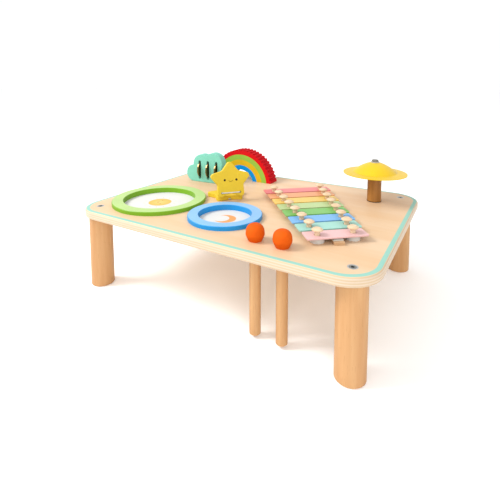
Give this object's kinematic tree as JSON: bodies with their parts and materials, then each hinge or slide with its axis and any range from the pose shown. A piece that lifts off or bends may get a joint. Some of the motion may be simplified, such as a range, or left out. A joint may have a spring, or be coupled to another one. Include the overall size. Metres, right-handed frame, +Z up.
{
  "type": "musical activity table",
  "caption": "Low wooden table carrying two drums, a metal-bar xylophone, cymbal on a post, ribbed rainbow, jingle cloud, star castanet and mallets standing in holes.",
  "frame": {"origin": "on the floor under the middle of the tabletop", "axes": "+X along the long front edge, +Y to the back edge behind the rainbow, +Z up"},
  "size_m": [0.57, 0.429, 0.2402],
  "materials": {
    "plywood": "clear satin lacquer with a printed mint border",
    "leg_wood": "natural beech, satin lacquer",
    "peg_wood": "natural wood, satin",
    "zinc": "zinc plated, satin",
    "dark_steel": "blackened, satin",
    "green_paint": "painted wood, satin light green",
    "blue_paint": "painted wood, satin light blue",
    "drum_skin": "matt white skin with a printed motif",
    "orange_paint": "painted wood, satin orange",
    "bar_red": "satin enamel",
    "bar_orange": "satin enamel",
    "bar_yellow": "satin enamel",
    "bar_lime": "satin enamel",
    "bar_green": "satin enamel",
    "bar_blue": "satin enamel",
    "bar_mint": "satin enamel",
    "bar_pink": "satin enamel",
    "white_felt": "pressed wool felt",
    "cymbal_paint": "satin yellow enamel",
    "rainbow_red": "painted wood, satin red",
    "rainbow_green": "painted wood, satin green",
    "rainbow_yellow": "painted wood, satin yellow",
    "rainbow_blue": "painted wood, satin blue",
    "mint_paint": "painted wood, satin mint",
    "brass": "bright brass",
    "star_paint": "painted wood, satin yellow",
    "white_cord": "round white elastic cord"
  },
  "bodies": {
    "table": {"tabletop": "plywood", "leg_front_left": "leg_wood", "leg_front_right": "leg_wood", "leg_back_left": "leg_wood", "leg_back_right": "leg_wood", "leg_bolts": "dark_steel", "leg_bolt_cups": "zinc", "leg_inserts": "zinc", "green_drum_ring": "green_paint", "green_drumhead": "drum_skin", "blue_drum_ring": "blue_paint", "blue_drumhead": "drum_skin", "xylophone_pegs": "peg_wood", "xylophone_felts": "white_felt", "xylophone_rail": "peg_wood", "xylophone_rail_felt": "white_felt", "cymbal_post": "leg_wood", "cymbal_base_ring": "dark_steel", "cymbal_screw": "zinc", "rainbow_red_arch": "rainbow_red", "rainbow_green_arch": "rainbow_green", "rainbow_yellow_arch": "rainbow_yellow", "rainbow_blue_arch": "rainbow_blue", "cloud_block": "mint_paint", "jingle_rod": "zinc", "castanet_base": "star_paint", "castanet_cord_base": "white_cord", "castanet_cord_links": "white_cord", "underside_screws": "zinc"},
    "mallet_left": {"mallet_head_left": "orange_paint", "mallet_stick_left": "leg_wood"},
    "mallet_right": {"mallet_head_right": "orange_paint", "mallet_stick_right": "leg_wood"},
    "bar_1_red": {"bar_1_red": "bar_red"},
    "bar_2_orange": {"bar_2_orange": "bar_orange"},
    "bar_3_yellow": {"bar_3_yellow": "bar_yellow"},
    "bar_4_lime": {"bar_4_lime": "bar_lime"},
    "bar_5_green": {"bar_5_green": "bar_green"},
    "bar_6_blue": {"bar_6_blue": "bar_blue"},
    "bar_7_mint": {"bar_7_mint": "bar_mint"},
    "bar_8_pink": {"bar_8_pink": "bar_pink"},
    "cymbal_seat": {"cymbal_lower_washer": "white_felt", "cymbal_upper_washer": "white_felt"},
    "cymbal": {"cymbal": "cymbal_paint"},
    "jingle_1_left": {"jingle_1_left": "brass"},
    "jingle_1_right": {"jingle_1_right": "brass"},
    "jingle_2_left": {"jingle_2_left": "brass"},
    "jingle_2_right": {"jingle_2_right": "brass"},
    "jingle_3_left": {"jingle_3_left": "brass"},
    "jingle_3_right": {"jingle_3_right": "brass"},
    "castanet_star": {"castanet_star": "star_paint", "castanet_cord_front": "white_cord"}
  },
  "joints": [
    {"name": "mallet_left_lift", "type": "slide", "parent": "table", "child": "mallet_left", "axis": [0, 0, 1], "range_m": [0, 0.16]},
    {"name": "mallet_right_lift", "type": "slide", "parent": "table", "child": "mallet_right", "axis": [0, 0, 1], "range_m": [0, 0.16]},
    {"name": "bar_1_lift", "type": "slide", "parent": "table", "child": "bar_1_red", "axis": [0, 0, 1], "range_m": [0, 0.0052]},
    {"name": "bar_2_lift", "type": "slide", "parent": "table", "child": "bar_2_orange", "axis": [0, 0, 1], "range_m": [0, 0.0052]},
    {"name": "bar_3_lift", "type": "slide", "parent": "table", "child": "bar_3_yellow", "axis": [0, 0, 1], "range_m": [0, 0.0052]},
    {"name": "bar_4_lift", "type": "slide", "parent": "table", "child": "bar_4_lime", "axis": [0, 0, 1], "range_m": [0, 0.0052]},
    {"name": "bar_5_lift", "type": "slide", "parent": "table", "child": "bar_5_green", "axis": [0, 0, 1], "range_m": [0, 0.0052]},
    {"name": "bar_6_lift", "type": "slide", "parent": "table", "child": "bar_6_blue", "axis": [0, 0, 1], "range_m": [0, 0.0052]},
    {"name": "bar_7_lift", "type": "slide", "parent": "table", "child": "bar_7_mint", "axis": [0, 0, 1], "range_m": [0, 0.0052]},
    {"name": "bar_8_lift", "type": "slide", "parent": "table", "child": "bar_8_pink", "axis": [0, 0, 1], "range_m": [0, 0.0052]},
    {"name": "cymbal_rock", "type": "hinge", "parent": "table", "child": "cymbal_seat", "pos_m": [0.2057, 0.1284, 0.2338], "axis": [1, 0, 0], "range_deg": [-5, 5]},
    {"name": "cymbal_spin", "type": "hinge", "parent": "cymbal_seat", "child": "cymbal", "pos_m": [0.2057, 0.1284, 0.2338], "axis": [0, 0, 1], "continuous": true},
    {"name": "jingle_1_left_spin", "type": "hinge", "parent": "table", "child": "jingle_1_left", "pos_m": [-0.19774, 0.07874, 0.1846], "axis": [0.9976, 0.0698, 0], "continuous": true},
    {"name": "jingle_1_right_spin", "type": "hinge", "parent": "table", "child": "jingle_1_right", "pos_m": [-0.19774, 0.07874, 0.1846], "axis": [0.9976, 0.0698, 0], "continuous": true},
    {"name": "jingle_2_left_spin", "type": "hinge", "parent": "table", "child": "jingle_2_left", "pos_m": [-0.1744, 0.08038, 0.1846], "axis": [0.9976, 0.0698, 0], "continuous": true},
    {"name": "jingle_2_right_spin", "type": "hinge", "parent": "table", "child": "jingle_2_right", "pos_m": [-0.1744, 0.08038, 0.1846], "axis": [0.9976, 0.0698, 0], "continuous": true},
    {"name": "jingle_3_left_spin", "type": "hinge", "parent": "table", "child": "jingle_3_left", "pos_m": [-0.15105, 0.08201, 0.1846], "axis": [0.9976, 0.0698, 0], "continuous": true},
    {"name": "jingle_3_right_spin", "type": "hinge", "parent": "table", "child": "jingle_3_right", "pos_m": [-0.15105, 0.08201, 0.1846], "axis": [0.9976, 0.0698, 0], "continuous": true},
    {"name": "castanet_fold", "type": "hinge", "parent": "table", "child": "castanet_star", "pos_m": [-0.0487, -0.0207, 0.164], "axis": [-0.6947, -0.7193, 0], "range_deg": [-10, 77], "stiffness_Nm_per_rad": 0.014, "springref_deg": -7.16, "deforming": ["castanet_cord_links"]}
  ]
}
